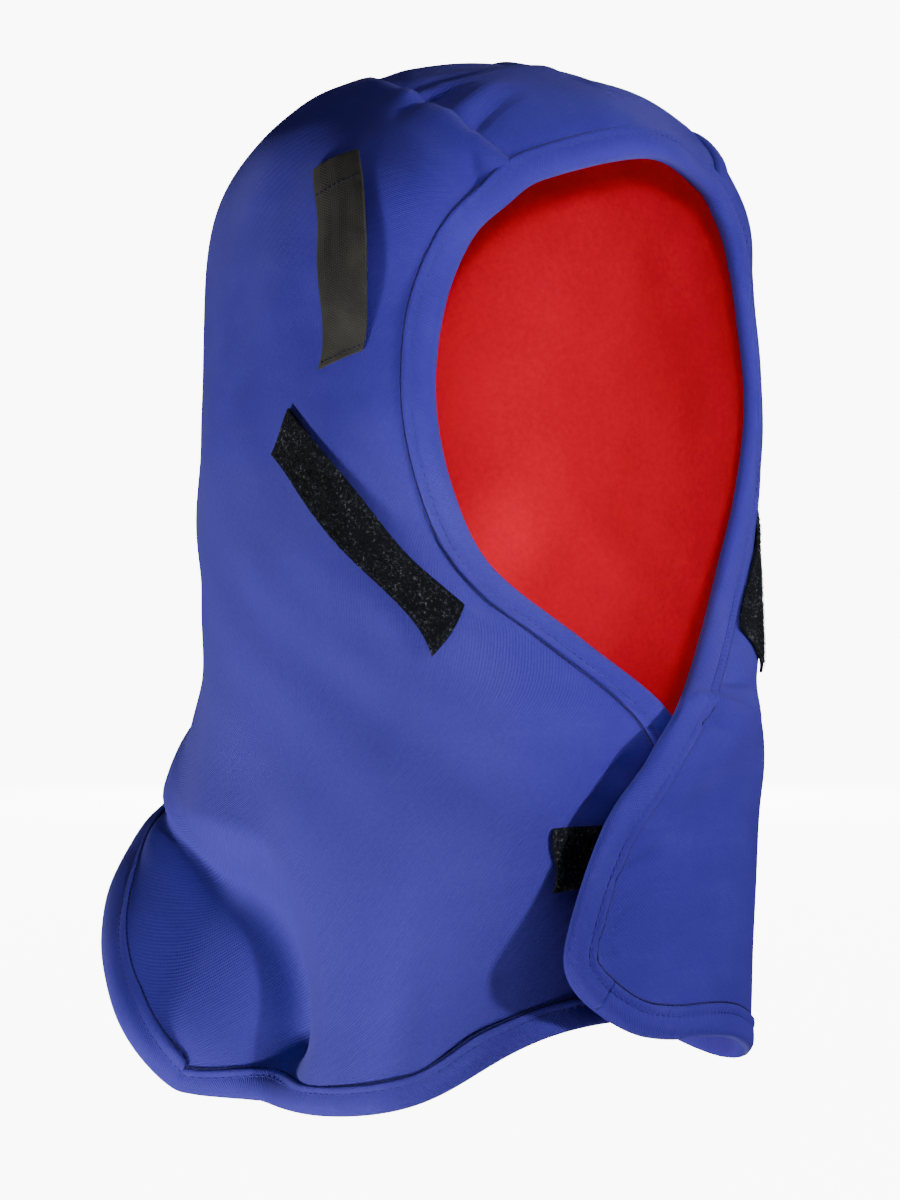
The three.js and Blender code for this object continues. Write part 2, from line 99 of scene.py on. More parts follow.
reachAlong, reachUp = 340, 480  # what a whole share of the net measures on average


def smoothStep(start, stop, x):
    s = np.clip((x - start) / (stop - start), 0, 1)
    return s * s * (3 - 2 * s)


def fade(start, stop, x):
    return 1 - smoothStep(start, stop, x)


def mix(a, b, s):
    return a + (b - a) * s


def unit(v):
    return v / np.maximum(np.linalg.norm(v, axis=-1, keepdims=True), 1e-12)


def levelsAt(at):
    rows = np.array(hood["levels"], float)
    ghost = rows[-2].copy()  # past the middle of the crown the net goes on into its mirror image
    ghost[0] = 2 - ghost[0]
    ghost[hood["columns"].index("halfWidth")] *= -1
    knots = np.vstack([rows, ghost])
    i = np.searchsorted(rows[1:-1, 0], at, side="left")
    before, first, second, after = knots[np.maximum(i - 1, 0)], knots[i], knots[i + 1], knots[i + 2]
    span = second[:, :1] - first[:, :1]
    s = (at[:, None] - first[:, :1]) / span
    slopeFirst = (second - before) / (second[:, :1] - before[:, :1]) * span
    slopeSecond = (after - first) / (after[:, :1] - first[:, :1]) * span
    values = ((2 * s**3 - 3 * s**2 + 1) * first + (s**3 - 2 * s**2 + s) * slopeFirst
              + (3 * s**2 - 2 * s**3) * second + (s**3 - s**2) * slopeSecond)
    return {name: values[:, k:k + 1] for k, name in enumerate(hood["columns"])}


def crownShape(s):
    a, b = hood["crownFront"], hood["crownBack"]
    peak = a / (a + b)
    s = np.clip(s, 0, 1)
    return s**a * (1 - s)**b / (peak**a * (1 - peak)**b)


def skirtShape(s):
    return smoothStep(*hood["skirtFront"], s) * fade(*hood["skirtBack"], s)


netSteps = {
    "at": np.linspace(-0.02, 1.02, 313),
    "along": np.linspace(0, 1, 321),
    "turn": np.linspace(0, 1, 201),
}


def makeNet(side):
    # points of the half hood on an even grid of at and along, with x positive
    level = levelsAt(netSteps["at"])
    share, front, widest = level["edgeShare"], level["frontSquare"], level["widestAt"]
    edgeAngle = -np.arccos(np.sign(share) * np.abs(share)**(front / 2))
    frontDepth = widest / np.abs(np.sin(edgeAngle))**(2 / front)
    turn = netSteps["turn"][None, :]
    angle = mix(edgeAngle, math.pi / 2, turn)
    power = 2 / np.where(angle < 0, front, level["backSquare"])
    out = np.sign(np.cos(angle)) * np.abs(np.cos(angle))**power
    depth = np.abs(np.sin(angle))**power
    back = np.where(angle < 0, widest - frontDepth * depth, mix(widest, 1, depth))
    dip = level["dip"] * hood["skirtDrop"][side]
    height = mix(level["edgeZ"], level["backZ"], back) + level["rise"] * crownShape(back)
    height = height - dip * skirtShape(turn)
    points = np.stack([level["halfWidth"] * out, mix(level["edgeY"], level["backY"], back), height], -1)
    steps = np.linalg.norm(np.diff(points, axis=1), axis=2)
    lengths = np.concatenate([np.zeros((len(points), 1)), np.cumsum(steps, axis=1)], axis=1)
    lengths /= lengths[:, -1:]
    net = np.stack([
        np.stack([np.interp(netSteps["along"], lengths[r], points[r, :, k]) for k in range(3)], -1)
        for r in range(len(points))])
    before = 2 * net[:, :1] - net[:, 1:2]
    after = net[:, -2:-1] * (-1, 1, 1)
    return np.concatenate([before, net, after], axis=1)


nets = {side: makeNet(side) for side in (right, left)}


def cubicWeights(f):
    return [(-f + 2 * f**2 - f**3) / 2, (2 - 5 * f**2 + 3 * f**3) / 2,
            (f + 4 * f**2 - 3 * f**3) / 2, (f**3 - f**2) / 2]


def onNet(side, at, along):
    net = nets[side]
    rows, columns = len(netSteps["at"]), len(netSteps["along"])
    r = (at - netSteps["at"][0]) / (netSteps["at"][1] - netSteps["at"][0])
    c = np.clip(along, 0, 1) * (columns - 1)
    r0 = np.clip(np.floor(r).astype(int), 1, rows - 3)
    c0 = np.clip(np.floor(c).astype(int), 0, columns - 2)
    point = np.zeros(at.shape + (3,))
    for i, rowWeight in enumerate(cubicWeights(r - r0)):
        for j, columnWeight in enumerate(cubicWeights(c - c0)):
            point += (rowWeight * columnWeight)[..., None] * net[r0 - 1 + i, c0 + j]
    return point


def wingShare(at, along):
    # 0 in the middle of the wing's hem and 1 along the gully round it
    wing = hood["wing"]
    off = (along - wing["along"] - wing["lean"] * at) / wing["wide"]
    return (np.abs(at / wing["tall"])**wing["square"] + np.abs(off)**wing["square"])**(1 / wing["square"])


def clothPush(side, at, along, point):
    # what the folds and dents add to a point of the net
    outward = point.copy()
    outward[..., 2] = np.where(at > hood["crownAt"], point[..., 2] + hood["headRadius"], 0)
    depth = np.zeros(at.shape)
    for place, lean, width, height, top in hood["folds"]:
        off = (along - place - lean * at) / width
        depth += height * np.exp(-off * off) * fade(0, top, at)
    wing, lobe = hood["wing"], wingShare(at, along)
    gully = smoothStep(wing["gullyIn"], 1, lobe) * fade(1, wing["gullyOut"], lobe)
    gully *= smoothStep(0, wing["footRise"], at) * fade(*wing["gullyEnd"], along)
    depth = (depth - wing["gully"] * gully) * fade(hood["foldsEnd"], 1, along)
    turned = fade(0, 1, lobe)[..., None]
    away = wing["depth"] * unit(outward - (0, wing["forward"], 0)) - (0, 0, wing["drop"])
    push = depth[..., None] * unit(outward) + turned * away
    push *= hood["foldShare"][side]
    for dentSide, dentAt, dentAlong, tall, wide, height in hood["dents"]:
        if dentSide == side:
            depth = height * np.exp(-((at - dentAt) / tall)**2 - ((along - dentAlong) / wide)**2)
            push += depth[..., None] * unit(outward)
    return push


def clothPoint(side, at, along):
    point = onNet(side, at, along)
    point = point + clothPush(side, at, along, point)
    nearEdge = fade(0, hood["flapReach"], along)
    point[..., 1] -= hood["flapLift"][side] * nearEdge * fade(*hood["chinFade"], at)
    if side == left:
        drop = hood["flapDrop"]
        overFlap = smoothStep(*drop["start"], along) * fade(*drop["end"], along)
        point[..., 2] -= drop["depth"] * overFlap * fade(0, drop["top"], at)
    else:
        lift = hood["hemLift"]
        underRidge = np.exp(-((along - lift["along"]) / lift["wide"])**2)
        point[..., 2] += lift["height"] * underRidge * fade(0, lift["top"], at)
    point[..., 0] *= side
    return point + hood["seatShift"]


probe, probeEnd = 0.004, 0.988  # the step that slopes are measured over, and the last place along for it


def clothFrame(side, at, along):
    # the slopes up and back at a place of the cloth, and the direction out of it
    safeAt, safeAlong = np.maximum(at, probe), np.clip(along, probe, probeEnd)
    above, below = (clothPoint(side, safeAt + step, safeAlong) for step in (probe, -probe))
    behind, before = (clothPoint(side, safeAt, safeAlong + step) for step in (probe, -probe))
    up, back = (above - below) / (2 * probe), (behind - before) / (2 * probe)
    out = np.cross(back, up) * side
    out[..., 0] = np.where((at >= 1) | (along >= 1), 0, out[..., 0])
    return up, back, unit(out)


def offCloth(side, at, along, height):
    at, along, height = np.broadcast_arrays(*(np.asarray(x, float) for x in (at, along, height)))
    return clothPoint(side, at, along) + clothFrame(side, at, along)[2] * height[..., None]


def hemAt(along):
    s = np.clip(1 - (along - hood["edgeTrim"]) / hood["cornerRun"], 0, 1)
    return hood["edgeTrim"] + hood["cornerRise"] * (1 - np.sqrt(1 - s * s))


def crownSeam(along):
    turn = smoothStep(hood["crownSeamTurn"], 1, along / hood["crownTipAt"])
    return mix(hood["crownSeamAt"], 1, turn**hood["crownSeamBend"])


# Small relief of the cloth that only shows close up: creases, puckers, seams and soft ripples
relief = {
    # side, at and along of one end, at and along of the other, width, depth
    "creases": [
        [right, 0.906, 0.126, 0.955, 0.200, 4.0, -2.4],
        [right, 0.906, 0.165, 0.960, 0.245, 5.0, 1.6],
        [right, 0.910, 0.240, 0.940, 0.265, 4.0, -2.2],
        [right, 0.908, 0.285, 0.965, 0.330, 5.0, -1.2],
        [right, 0.858, 0.040, 0.895, 0.110, 4.0, -1.8],
        [right, 0.905, 0.240, 0.868, 0.225, 4.0, -2.0],
        [right, 0.905, 0.255, 0.860, 0.300, 6.0, 1.4],
        [right, 0.455, 0.090, 0.470, 0.010, 5.0, -1.2],
        [right, -0.02, 0.292, 0.150, 0.285, 13.0, -5.0],
        [right, -0.02, 0.352, 0.150, 0.334, 5.0, 1.8],
        [left, 0.140, 0.030, 0.166, 0.075, 2.2, -1.5],
        [left, 0.152, 0.030, 0.182, 0.085, 2.6, 0.9],
        [left, 0.092, 0.032, 0.126, 0.075, 2.2, -1.5],
        [left, 0.106, 0.032, 0.142, 0.080, 2.6, 0.9],
        [left, 0.080, 0.036, 0.083, 0.060, 1.8, -1.2],
        [left, 0.352, 0.015, 0.330, 0.130, 3.6, 4.2],
        [left, 0.322, 0.040, 0.312, 0.100, 2.6, -4.2],
        [left, 0.375, 0.060, 0.365, 0.150, 3.2, -3.6],
    ],
    # where a crease fades in and out, as shares of its length
    "creaseStart": (-0.15, 0.12), "creaseEnd": (0.35, 1.15),
    # wave length over the net along and up, height
    "ripples": [[150, 95, 0.5], [85, -140, 0.4], [-60, 75, 0.35], [48, 160, 0.3]],
    "pinch": 5.0, "pinchShare": 0.98, "pinchWidth": 0.10, "pinchRise": (0.015, 0.06), "pinchEnd": (0.82, 0.9),
    "puff": 1.8, "puffAt": -4.5, "puffWidth": 5.0, "puffCalm": 0.75, "puffEnd": (0.26, 0.42),
    "stitchDip": 1.2, "stitchDipWidth": 1.4, "tuckUnder": 1.1, "tuckReach": 9,
    "seamDepth": 1.1, "seamWidth": 2.0, "seamLip": 0.5, "seamLipAt": 5, "seamLipWidth": 3, "seamCalm": 30,
    "seamMeet": 0.15, "seamMeetFrom": 0.97,
}
ripplePhases = {side: chance.uniform(0, 2 * math.pi, len(relief["ripples"])) for side in (right, left)}


def clothRelief(side, at, along):
    s, t = along * reachAlong, at * reachUp
    height = np.zeros(at.shape)
    for (acrossWave, upWave, size), phase in zip(relief["ripples"], ripplePhases[side]):
        height += size * np.sin(2 * math.pi * (s / acrossWave + t / upWave) + phase)
    for creaseSide, at0, along0, at1, along1, width, depth in relief["creases"]:
        if creaseSide != side:
            continue
        awayS, awayT = s - along0 * reachAlong, t - at0 * reachUp
        runS, runT = (along1 - along0) * reachAlong, (at1 - at0) * reachUp
        share = (awayS * runS + awayT * runT) / (runS**2 + runT**2)
        off = (awayS * runT - awayT * runS) / math.hypot(runS, runT)
        taper = smoothStep(*relief["creaseStart"], share) * fade(*relief["creaseEnd"], share)
        height += depth * taper * np.exp(-(off / width)**2)
    if side == right:
        pinch = np.exp(-((wingShare(at, along) - relief["pinchShare"]) / relief["pinchWidth"])**2)
        pinch *= smoothStep(*relief["pinchRise"], at) * fade(*relief["pinchEnd"], along)
        height -= relief["pinch"] * pinch
    toBack = (1 - along) * reachAlong
    height *= smoothStep(0, relief["seamCalm"], toBack)
    groove = relief["seamDepth"] * np.exp(-(toBack / relief["seamWidth"])**2)
    lip = relief["seamLip"] * np.exp(-((toBack - relief["seamLipAt"]) / relief["seamLipWidth"])**2)
    return height - groove + lip


def crownRelief(at, along, onPanel):
    # at the crown seam the side panel swells over the crown panel, which slips under it
    pastSeam = (at - crownSeam(along)) * reachUp
    if onPanel:
        swell = relief["puff"] * np.exp(-((pastSeam - relief["puffAt"]) / relief["puffWidth"])**2)
        swell *= 1 - relief["puffCalm"] * smoothStep(*relief["puffEnd"], along)
        return swell - relief["stitchDip"] * np.exp(-(pastSeam / relief["stitchDipWidth"])**2)
    return -relief["tuckUnder"] * fade(0, relief["tuckReach"], pastSeam)


def shellPoint(side, at, along, height=0.0):
    return offCloth(side, at, along, height + clothRelief(side, at, along))


# Meshes are grids laid over the net, with a UV map in metres of cloth
def meshFrom(name, bm):
    mesh = bpy.data.meshes.new(name)
    bm.to_mesh(mesh)
    bm.free()
    return mesh


def newObject(name, data):
    made = bpy.data.objects.new(name, data)
    bpy.context.scene.collection.objects.link(made)
    return made


def smoothObject(name, mesh, material):
    mesh.polygons.foreach_set("use_smooth", [True] * len(mesh.polygons))
    mesh.materials.append(material)
    return newObject(name, mesh)


def newPiece(name, mesh, material, slot, replaced=()):
    piece = smoothObject(name, mesh, material)
    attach(piece, "root")
    if replaced:
        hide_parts(*replaced)
    return piece


def laidGrid(columns, rows, place, cloth):
    # place and cloth turn arrays of the grid's two shares into points, and into metres of cloth
    bm = bmesh.new()
    bmesh.ops.create_grid(bm, x_segments=columns, y_segments=rows, size=0.5)
    bm.verts.ensure_lookup_table()
    shares = np.array([v.co[:2] for v in bm.verts]) + 0.5
    points = place(shares[:, 0], shares[:, 1]) * mm
    flat = np.stack(cloth(shares[:, 0], shares[:, 1]), -1)
    uvLayer = bm.loops.layers.uv.new("cloth")
    for vert, point in zip(bm.verts, points):
        vert.co = point
    bm.verts.index_update()
    for face in bm.faces:
        for loop in face.loops:
            loop[uvLayer].uv = flat[loop.vert.index]
    return bm


headMiddle = Vector((0, 0.01, -0.15))
sides = {right: "right", left: "left"}


def faceOutward(bm):
    # turns a sheet so that its faces look away from the middle of the head
    bm.normal_update()
    looks = (face.normal.dot(face.calc_center_median() - headMiddle) * face.calc_area() for face in bm.faces)
    if sum(looks) < 0:
        bmesh.ops.reverse_faces(bm, faces=bm.faces[:])


def thicken(piece, thickness, offset=-1):
    wall = piece.modifiers.new("wall", "SOLIDIFY")
    wall.thickness = thickness * mm
    wall.offset = offset
    wall.use_even_offset = False


def stretchedPiece(name, bm, material, slot, node, thickness):
    faceOutward(bm)
    piece = newPiece(name, meshFrom(name, bm), material, slot, [node])
    thicken(piece, thickness)


# Materials: a wire carries one socket, and arithmetic on wires adds Math nodes
class Wire:
    def __init__(self, tree, socket=None):
        self.tree = tree
        self.socket = socket

    def node(self, kind, settings=None, inputs=None, out=0):
        made = self.tree.nodes.new(kind)
        for key, value in (settings or {}).items():
            setattr(made, key, value)
        for key, value in (inputs or {}).items():
            if isinstance(value, Wire):
                self.tree.links.new(value.socket, made.inputs[key])
            else:
                made.inputs[key].default_value = value
        return Wire(self.tree, made.outputs[out])

    def maths(self, operation, *values):
        return self.node("ShaderNodeMath", {"operation": operation}, dict(enumerate(values)))

    def __add__(self, other):
        return self.maths("ADD", self, other)

    def __sub__(self, other):
        return self.maths("SUBTRACT", self, other)

    def __rsub__(self, other):
        return self.maths("SUBTRACT", other, self)

    def __mul__(self, other):
        return self.maths("MULTIPLY", self, other)

    def sine(self):
        return self.maths("SINE", self)

    def between(self, low, high):
        return self.node("ShaderNodeMapRange", {"interpolation_type": "SMOOTHSTEP"},
                         {"Value": self, "From Min": low, "From Max": high})

    def tint(self, first, second):
        # first and second are colours, or wires that carry one
        return self.node("ShaderNodeMix", {"data_type": "RGBA"}, {0: self, 6: first, 7: second}, out=2)

    def parts(self):
        split = self.node("ShaderNodeSeparateXYZ", {}, {0: self}).socket.node
        return [Wire(self.tree, part) for part in split.outputs]

    def noise(self, where, scale, detail=3.0, rough=0.5):
        return self.node("ShaderNodeTexNoise", {}, {"Vector": where, "Scale": scale, "Detail": detail,
                                                    "Roughness": rough})


def rgb(r, g, b):
    # a colour as a screen shows it, made linear
    shares = [v / 255 for v in (r, g, b)]
    return tuple(v / 12.92 if v <= 0.04045 else ((v + 0.055) / 1.055)**2.4 for v in shares) + (1,)


def newMaterial(name, **constants):
    material = bpy.data.materials.new(name)
    material.use_nodes = True
    tree = material.node_tree
    shader = tree.nodes["Principled BSDF"]
    for key, value in constants.items():
        shader.inputs[key.replace("_", " ")].default_value = value
    wire = Wire(tree)
    whole = wire.node("ShaderNodeTexCoord", out="Object")
    laid = wire.node("ShaderNodeUVMap", {"uv_map": "cloth"})

    def finish(colour, roughness=None, height=None, bump=None):
        tree.links.new(colour.socket, shader.inputs["Base Color"])
        if roughness is not None:
            tree.links.new(roughness.socket, shader.inputs["Roughness"])
        if height is not None:
            strength, distance = bump
            bumped = wire.node("ShaderNodeBump", {}, {"Height": height, "Strength": strength,
                                                      "Distance": distance * mm})
            tree.links.new(bumped.socket, shader.inputs["Normal"])
        return material

    return wire, whole, laid, finish


blueCotton = {
    # the last colour is a painted highlight, a paler blue laid where the left lamp lights the lower right
    # side
    "deep": rgb(54, 40, 158), "mid": rgb(63, 51, 172), "worn": rgb(80, 72, 182), "paintedHighlightBlue": rgb(76, 69, 177),
    "twillPitch": 1.3, "yarnPitch": 0.75, "streakRun": 0.22,
    "cloudScale": 9, "brushScale": 34, "grainScale": 900, "streakScale": 70,
    "wearRange": (0.36, 0.66), "rubRange": (0.50, 0.72), "shadeRange": (0.0, 1.6), "shadeLess": 0.45,
    # a painted highlight grows against a direction, within a reach along it and below a height
    "paintedHighlightSide": (0.79, -0.62), "paintedHighlightReach": (0.0, 0.07), "paintedHighlightHeight": (-0.150, -0.100),
    "paintedHighlightRagged": (0.03, 0.05), "bump": (0.5, 0.35),
}


def cottonMaterial(name, form, lighten=0.0):
    wire, whole, laid, finish = newMaterial(name, Roughness=0.86, Sheen_Weight=0.12, Sheen_Roughness=0.45,
                                            Sheen_Tint=(0.55, 0.62, 1, 1), Specular_IOR_Level=0.25)
    u, v, _ = laid.parts()
    turn = 2 * math.pi / (form["twillPitch"] * mm)
    yarn = 2 * math.pi / (form["yarnPitch"] * mm)
    ribs = ((u + v) * turn).sine()
    yarns = (u * yarn).sine() * (v * yarn).sine()
    clouds = wire.noise(whole, form["cloudScale"], 4, 0.55)
    brushed = wire.noise(whole, form["brushScale"], 5, 0.6)
    grain = wire.noise(whole, form["grainScale"], 2)
    drawn = wire.node("ShaderNodeCombineXYZ", {}, {"X": u * form["streakRun"], "Y": v})
    streaks = wire.noise(drawn, form["streakScale"], 4, 0.6)
    wear = (clouds * 0.45 + brushed * 0.25 + streaks * 0.30 + lighten).between(*form["wearRange"])
    cloth = wear.tint(form["deep"], form["mid"])
    rubbed = (brushed * 0.5 + clouds * 0.2 + streaks * 0.3 + lighten).between(*form["rubRange"])
    shade = (ribs * 0.40 + grain * 1.1 + rubbed * 0.6 - form["shadeLess"]).between(*form["shadeRange"])
    colour = shade.tint(cloth, form["worn"])
    # painted highlight: below the helmet the right side, which faces the left lamp, is tinted a paler blue
    x, y, z = whole.parts()
    paintedHighlightX, paintedHighlightY = form["paintedHighlightSide"]
    raggedAside, raggedTop = form["paintedHighlightRagged"]
    aside = x * paintedHighlightX + y * paintedHighlightY + streaks * raggedAside
    low = 1 - (z + streaks * raggedTop).between(*form["paintedHighlightHeight"])
    paintedHighlightMask = low * (1 - aside.between(*form["paintedHighlightReach"]))
    colour = (paintedHighlightMask * (grain * 0.8 + 0.2)).tint(colour, form["paintedHighlightBlue"])
    height = ribs * 0.5 + yarns * 0.3 + grain * 0.9
    return finish(colour, grain * 0.10 + 0.80, height, form["bump"])


redFleece = {
    "deep": rgb(216, 2, 42), "bright": rgb(238, 4, 52),
    "cloudScale": 12, "napScale": 420, "range": (0.3, 0.7), "bump": (0.5, 0.8),
}


def fleeceMaterial(name, form):
    wire, whole, _, finish = newMaterial(name, Roughness=0.95, Sheen_Weight=0.06, Sheen_Roughness=0.5,
                                         Sheen_Tint=(1, 0.35, 0.3, 1), Specular_IOR_Level=0.15)
    clouds = wire.noise(whole, form["cloudScale"], 4)
    nap = wire.noise(whole, form["napScale"], 4, 0.7)
    colour = (clouds * 0.6 + nap * 0.4).between(*form["range"]).tint(form["deep"], form["bright"])
    return finish(colour, nap * 0.1 + 0.88, nap + clouds * 0.6, form["bump"])


blackLoop = {
    "ground": rgb(17, 20, 25), "fleck": rgb(112, 118, 126), "fuzzScale": 800, "patchScale": 160,
    "range": (0.53, 0.72), "bump": (0.8, 0.9),
}
loopTip = dict(blackLoop, ground=rgb(28, 31, 37), fleck=rgb(150, 156, 163))


def loopMaterial(name, form):
    wire, whole, _, finish = newMaterial(name, Roughness=1.0, Specular_IOR_Level=0.2)
    fuzz = wire.noise(whole, form["fuzzScale"], 3, 0.75)
    patches = wire.noise(whole, form["patchScale"], 3)
    fleck = (fuzz * 0.8 + patches * 0.2).between(*form["range"])
    return finish(fleck.tint(form["ground"], form["fleck"]), None, fuzz, form["bump"])


greyWeb = {
    "dark": rgb(31, 31, 29), "light": rgb(64, 63, 58), "pitch": 1.2, "chevrons": 6.6, "pickPitch": 0.9,
    "wearScale": 70, "range": (0.15, 0.95), "bump": (0.35, 0.4),
}


def webbingMaterial(name, form):
    wire, whole, laid, finish = newMaterial(name, Roughness=0.75, Specular_IOR_Level=0.3, Sheen_Weight=0.1)
    u, v, _ = laid.parts()
    zigzag = wire.maths("PINGPONG", u, form["chevrons"] * mm / 2)
    ribs = ((v + zigzag) * (2 * math.pi / (form["pitch"] * mm))).sine()
    picks = (u * (2 * math.pi / (form["pickPitch"] * mm))).sine()
    wear = wire.noise(whole, form["wearScale"], 4)
    shade = (ribs * 0.16 + picks * 0.06 + wear).between(*form["range"])
    colour = shade.tint(form["dark"], form["light"])
    return finish(colour, None, ribs * 0.6 + picks * 0.3, form["bump"])


thread = {"twistScale": 2600, "range": (0.35, 0.65), "bump": (0.4, 0.2)}


def threadMaterial(name, dark, light):
    wire, whole, _, finish = newMaterial(name, Roughness=0.6, Specular_IOR_Level=0.4)
    twist = wire.noise(whole, thread["twistScale"], 2)
    colour = twist.between(*thread["range"]).tint(dark, light)
    return finish(colour, None, twist, thread["bump"])


finishes = {
    "shell": cottonMaterial("blueCotton", blueCotton),
    "binding": cottonMaterial("blueBinding", dict(blueCotton, twillPitch=0.95), lighten=0.02),
    "lining": fleeceMaterial("redFleece", redFleece),
    "loop": loopMaterial("blackLoop", blackLoop),
    "loopTip": loopMaterial("blackLoopTip", loopTip),
    "web": webbingMaterial("greyWebbing", greyWeb),
    "blueThread": threadMaterial("blueThread", rgb(40, 30, 120), rgb(66, 56, 165)),
    "darkThread": threadMaterial("darkThread", rgb(10, 11, 22), rgb(32, 36, 64)),
    # painted shade: dark beads along the binding's sewn side, where the step of the tape would cast shade
    "seamShade": threadMaterial("seamShade", rgb(26, 20, 84), rgb(40, 32, 112)),
}
print("materials made:", len(finishes))

# Shell: two side panels and the crown panel between them
shell = {"columns": 150, "rows": 230, "frontCrowd": 1.3, "flat": (0.36, 0.47), "area": 0.108}
crown = {
    "columns": 120, "rows": 100, "crowd": 1.15, "lap": 0.008, "tipTrim": 0.008, "middle": 0.2,
    "flat": (0.13, 0.20), "area": 0.0158,
}


def panelAlong(u):
    return mix(hood["edgeTrim"], 1, u**shell["frontCrowd"])


def panelAt(u, v):
    along = panelAlong(u)
    return mix(hemAt(along), crownSeam(along) - hood["seamTrim"], v)


def clothMetres(along, at):
    return along * reachAlong * mm, at * reachUp * mm


def makePanel(side):
    def place(u, v):
        at, along = panelAt(u, v), panelAlong(u)
        points = shellPoint(side, at, along, crownRelief(at, along, True))
        # the halves are sewn together down the back, so they meet there
        points[:, 0] -= side * relief["seamMeet"] * smoothStep(relief["seamMeetFrom"], 1, along)
        return points

    bm = laidGrid(shell["columns"], shell["rows"], place,
                  lambda u, v: clothMetres(panelAlong(u), panelAt(u, v)))
    stretchedPiece("shell_" + sides[side], bm, finishes["shell"], "blue_cotton", "side_panel_" + sides[side],
                   hood["shell"])


def makeCrown():
    tip = hood["crownTipAt"] - crown["tipTrim"]

    def net(u, v):
        along = mix(hood["edgeTrim"], tip, u**crown["crowd"])
        across = np.abs(2 * v - 1)
        return mix(1, crownSeam(along) - crown["lap"], across), along, np.where(v < 0.5, right, left)

    def place(u, v):
        at, along, halves = net(u, v)
        points = np.zeros((len(u), 3))
        for side in (right, left):
            picked = halves == side
            lap = crownRelief(at[picked], along[picked], False)
            points[picked] = shellPoint(side, at[picked], along[picked], lap)
        return points

    def cloth(u, v):
        at, along, halves = net(u, v)
        across = crown["middle"] - (1 - at) * halves * reachUp * mm
        return along * reachAlong * mm, across

    bm = laidGrid(crown["columns"], crown["rows"], place, cloth)
    stretchedPiece("crown", bm, finishes["shell"], "blue_cotton", "crown_panel",
                   hood["shell"])


makePanel(right)
makePanel(left)
makeCrown()
print("shell made")

# Lining: red halves just inside the shell
lining = {
    "columns": 110, "rows": 170, "nap": 0.35, "napUp": (61, 3), "napAlong": 47,
    "flat": (0.36, 0.48), "area": 0.112,
}


def makeLining(side):
    depth = hood["shell"] + hood["layerGap"]

    def net(u, v):
        along = panelAlong(u)
        return mix(hemAt(along), 1, v), along

    def place(u, v):
        at, along = net(u, v)
        up, lean = lining["napUp"]
        soft = lining["nap"] * np.sin(at * up + lean * along) * np.sin(along * lining["napAlong"] + side)
        points = shellPoint(side, at, along, -depth + soft)
        points[:, 0] += side * hood["halfSeam"]
        return points

    def cloth(u, v):
        at, along = net(u, v)
        return clothMetres(along, at)

    bm = laidGrid(lining["columns"], lining["rows"], place, cloth)
    stretchedPiece("fleece_" + sides[side], bm, finishes["lining"], "red_lining", "lining_" + sides[side],
                   hood["lining"])


makeLining(right)
makeLining(left)
print("lining made")

# Binding: a folded tape round every edge, with a stitch line near its sewn side and a painted shade line of
# dark beads just past that side
binding = {
    # distance in from the edge and height over the shell, round the tape and back inside it
    "section": [
        (10.1, 0.30), (10.3, 0.85), (9.8, 1.45), (8.9, 1.62), (7.8, 1.40), (7.0, 1.10), (6.2, 1.30),
        (4.8, 1.62), (3.0, 1.75), (1.2, 1.62), (-0.4, 1.20), (-1.5, 0.30), (-2.05, -0.90), (-2.2, -2.05),
        (-2.05, -3.20), (-1.5, -4.30), (-0.4, -5.10), (1.2, -5.45), (3.5, -5.50), (6.5, -5.35), (9.0, -5.25),
        (9.5, -4.90), (9.3, -4.45), (6.0, -4.42), (2.5, -4.42), (0.0, -4.35), (-0.7, -3.60), (-1.0, -2.05),
        (-0.7, -0.50), (0.0, 0.22), (2.5, 0.26), (6.0, 0.28),
    ],
    "tapeWidth": 0.034, "bandGap": 0.0006, "cornerSteps": 60, "faceSteps": 700, "hemSteps": 900,
    "ringStep": 0.9, "follow": 0.6, "stitchIn": 7.0, "stitchPitch": 3.0, "pullWidth": 1.2, "pucker": 0.22,
    # height of the soft sway and its two lengths, and the height in the section that it starts above
    "sway": (0.18, 7.3, 19.0), "swayAbove": 0.6,
    # distance in from the edge, height, pitch, length and radius of the stitches, and of the dark beads that
    # paint shade along the tape's sewn side
    "topStitch": (7.0, 1.22, 3.0, 2.1, 0.28), "paintedSeamShade": (10.7, 0.25, 2.6, 3.4, 0.42),
}


def edgePath(name):
    # at and along of the edge on one half; the cloth lies to the same side of both paths
    trim, band, gap = hood["edgeTrim"], hood["bandAlong"], binding["bandGap"]
    if name == "face":
        corner = np.linspace(band - gap, trim, binding["cornerSteps"])
        upward = np.linspace(hemAt(trim), 1, binding["faceSteps"])[1:]
        at = np.concatenate([hemAt(corner), upward])
        along = np.concatenate([corner, np.full(len(upward), trim)])
    else:
        along = np.linspace(1, band + gap, binding["hemSteps"])
        at = hemAt(along)
    return at, along


def runAlong(points):
    return np.concatenate([[0], np.cumsum(np.linalg.norm(np.diff(points, axis=0), axis=1))])


def evenPath(side, at, along, step):
    run = runAlong(clothPoint(side, at, along))
    wanted = np.linspace(0, run[-1], max(3, int(round(run[-1] / step))))
    return np.interp(wanted, run, at), np.interp(wanted, run, along), wanted


def edgeFrame(side, at, along):
    point = clothPoint(side, at, along)
    run = unit(np.gradient(point, axis=0))
    up, back, out = clothFrame(side, at, along)
    inward = -up * np.gradient(along)[:, None] + back * np.gradient(at)[:, None]
    inward -= run * np.sum(inward * run, -1, keepdims=True)
    inward = unit(inward - out * np.sum(inward * out, -1, keepdims=True))
    uu, ub, bb = (np.sum(a * b, -1) for a, b in ((up, up), (up, back), (back, back)))
    iu, ib = np.sum(inward * up, -1), np.sum(inward * back, -1)
    det = uu * bb - ub * ub
    return point, inward, out, (iu * bb - ib * ub) / det, (ib * uu - iu * ub) / det


